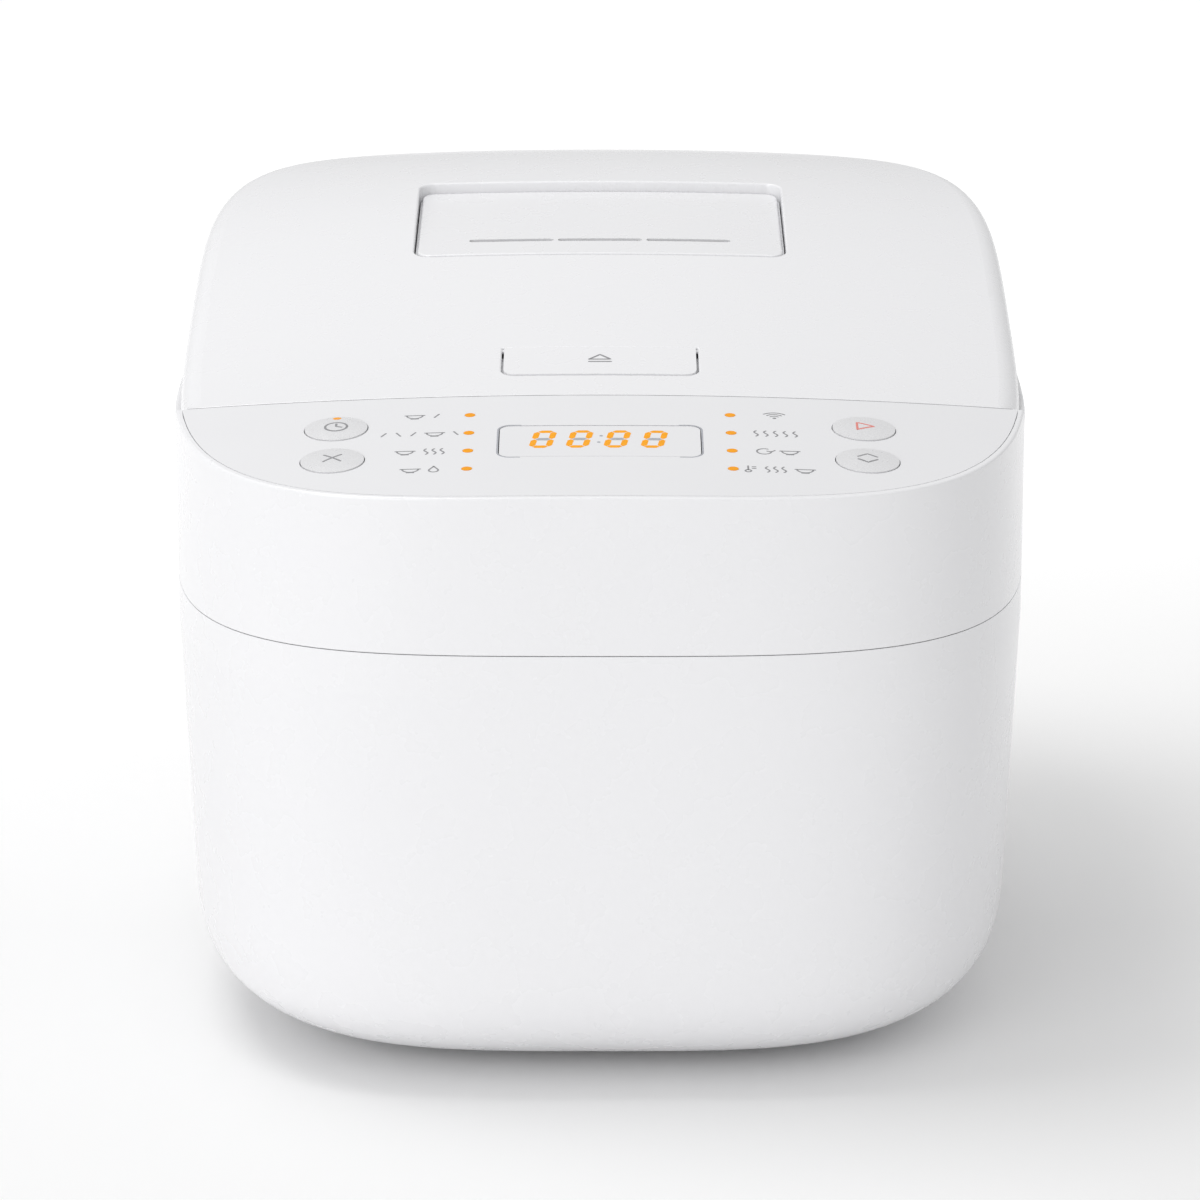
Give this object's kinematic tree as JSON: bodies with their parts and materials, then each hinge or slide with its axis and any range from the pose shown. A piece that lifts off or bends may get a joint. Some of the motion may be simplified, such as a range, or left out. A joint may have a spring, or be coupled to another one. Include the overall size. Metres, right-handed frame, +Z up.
{
  "type": "rice cooker",
  "caption": "Countertop rice cooker with a rear-hinged lid, steam vent cap, latch button, inner pot and a sloping control panel with buttons, lamps and a clock display.",
  "frame": {"origin": "on the floor under the middle of the cooker", "axes": "+Z up, -Y towards the control panel at the front, +X to the viewer's right of the front"},
  "size_m": [0.27, 0.34, 0.2368],
  "materials": {
    "white_plastic": "smooth semi-gloss moulded white",
    "panel_plastic": "smooth satin film",
    "pearl_plastic": "pearly",
    "grey_plastic": "fine texture",
    "dark_plastic": "fine texture",
    "aluminium": "cast and turned",
    "steel": "plated",
    "coating": "non-stick coating with fine speckle",
    "rubber": "matt",
    "lens": "translucent white",
    "board": "solder mask",
    "lamp": "lit lamp",
    "silicone": "silicone",
    "copper": "enamelled winding and laminated core",
    "brass": "plated contacts"
  },
  "bodies": {
    "base": {"base_housing": "white_plastic", "upper_housing": "white_plastic", "top_deck": "white_plastic", "bottom_cover": "dark_plastic", "cover_screws": "steel", "rubber_feet": "rubber", "heat_shield": "steel", "chamber_collar": "steel", "inner_pot": "coating", "heating_plate": "aluminium", "heating_element": "aluminium", "plate_screws": "steel", "thermal_fuse": "steel", "sensor_housing": "dark_plastic", "sensor_spring": "steel", "power_board": "board", "transformer": "copper", "power_relay": "dark_plastic", "capacitors": "dark_plastic", "wire_harness": "rubber", "power_inlet": "dark_plastic", "inlet_pins": "brass", "control_panel": "panel_plastic", "display_window": "lens", "display_module": "dark_plastic", "indicator_lamps": "lamp", "control_board": "board", "board_screws": "steel", "button_switches": "dark_plastic", "buzzer": "dark_plastic", "hinge_bracket": "steel", "bracket_screws": "steel", "lid_spring": "steel", "latch_catch": "steel"},
    "lid": {"lid_cover": "white_plastic", "lid_liner": "grey_plastic", "lid_screws": "steel", "lid_heater": "aluminium", "inner_lid": "aluminium", "lid_gasket": "silicone", "steam_valve": "grey_plastic", "lid_sensor": "steel", "latch_pin": "steel", "hinge_pin": "steel", "button_springs": "steel"},
    "open_button": {"open_button": "white_plastic"},
    "latch_hook": {"latch_hook": "grey_plastic"},
    "vent_cover": {"vent_cover": "white_plastic", "vent_seal": "silicone"},
    "valve_float": {"valve_float": "silicone"},
    "sensor_cap": {"sensor_cap": "aluminium"},
    "timer_button": {"timer_button": "pearl_plastic", "timer_lamp": "lamp"},
    "cancel_button": {"cancel_button": "pearl_plastic"},
    "start_button": {"start_button": "pearl_plastic"},
    "select_button": {"select_button": "pearl_plastic"}
  },
  "joints": [
    {"name": "lid_hinge", "type": "hinge", "parent": "base", "child": "lid", "pos_m": [0, 0.162, 0.204], "axis": [-1, 0, 0], "range_deg": [0, 85]},
    {"name": "open_button_press", "type": "hinge", "parent": "lid", "child": "open_button", "pos_m": [0, -0.0495, 0.20992], "axis": [1, 0, 0], "range_deg": [0, 5], "stiffness_Nm_per_rad": 0.4, "springref_deg": -3.44, "deforming": ["button_springs"]},
    {"name": "latch_release", "type": "hinge", "parent": "lid", "child": "latch_hook", "pos_m": [0, -0.06, 0.2022], "axis": [1, 0, 0], "range_deg": [0, 11.5]},
    {"name": "vent_cover_lift", "type": "slide", "parent": "lid", "child": "vent_cover", "axis": [0, 0, 1], "range_m": [0, 0.03]},
    {"name": "valve_float_lift", "type": "slide", "parent": "lid", "child": "valve_float", "axis": [0, 0, 1], "range_m": [0, 0.003]},
    {"name": "sensor_press", "type": "slide", "parent": "base", "child": "sensor_cap", "axis": [0, 0, -1], "range_m": [0, 0.003], "stiffness_N_per_m": 400, "springref_m": -0.003, "deforming": ["sensor_spring"]},
    {"name": "timer_press", "type": "slide", "parent": "base", "child": "timer_button", "axis": [0.0445, 0.1245, -0.9912], "range_m": [0, 0.0008], "stiffness_N_per_m": 900, "springref_m": -0.0004},
    {"name": "cancel_press", "type": "slide", "parent": "base", "child": "cancel_button", "axis": [0.0445, 0.1245, -0.9912], "range_m": [0, 0.0008], "stiffness_N_per_m": 900, "springref_m": -0.0004},
    {"name": "start_press", "type": "slide", "parent": "base", "child": "start_button", "axis": [-0.0445, 0.1245, -0.9912], "range_m": [0, 0.0008], "stiffness_N_per_m": 900, "springref_m": -0.0004},
    {"name": "select_press", "type": "slide", "parent": "base", "child": "select_button", "axis": [-0.0445, 0.1245, -0.9912], "range_m": [0, 0.0008], "stiffness_N_per_m": 900, "springref_m": -0.0004}
  ],
  "couplings": [
    {"joint": "latch_release", "follows": "open_button_press", "ratio": 2.3}
  ]
}
